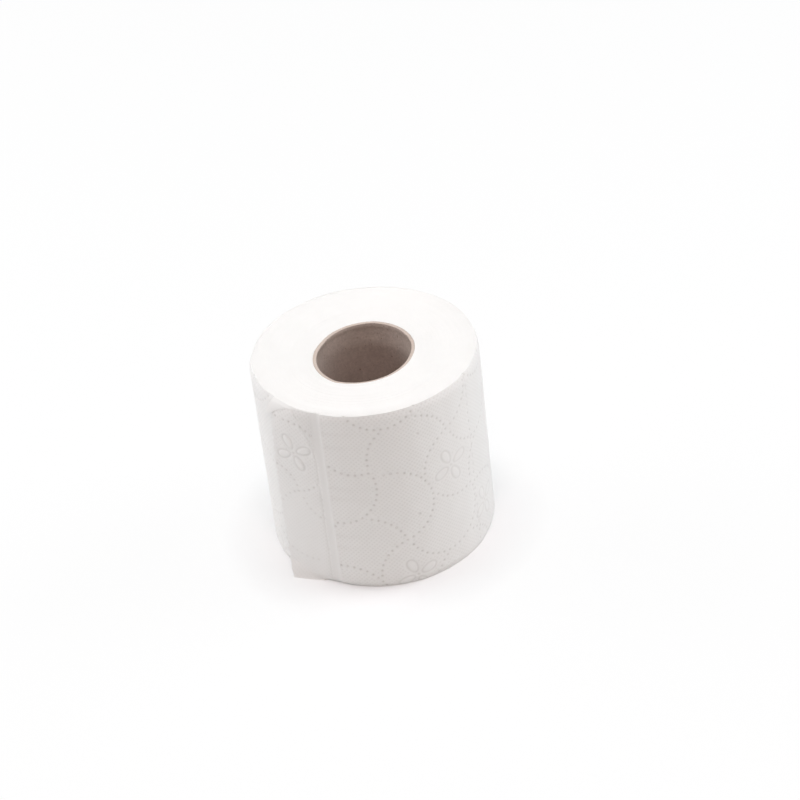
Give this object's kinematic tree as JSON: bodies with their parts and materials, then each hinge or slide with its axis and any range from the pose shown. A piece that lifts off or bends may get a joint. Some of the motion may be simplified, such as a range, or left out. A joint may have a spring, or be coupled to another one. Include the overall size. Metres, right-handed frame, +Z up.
{
  "type": "toilet paper roll",
  "caption": "Upright roll of white embossed tissue wound on a cardboard tube, with a loose end whose lower corner stands off.",
  "frame": {"origin": "on the axis of the cardboard tube's bore, in the plane of the end that the roll stands on", "axes": "+Z up along the tube's bore; -Y towards the side with the loose end's crease, which is the front; the loose end's edge is at the front left (-X, -Y)"},
  "size_m": [0.1003, 0.1006, 0.0935],
  "materials": {
    "tissue": "matte, soft, embossed",
    "cardboard": "matte, uncoated grey-brown board"
  },
  "bodies": {
    "root": {"paper_roll": "tissue", "core_tube": "cardboard"}
  },
  "joints": []
}
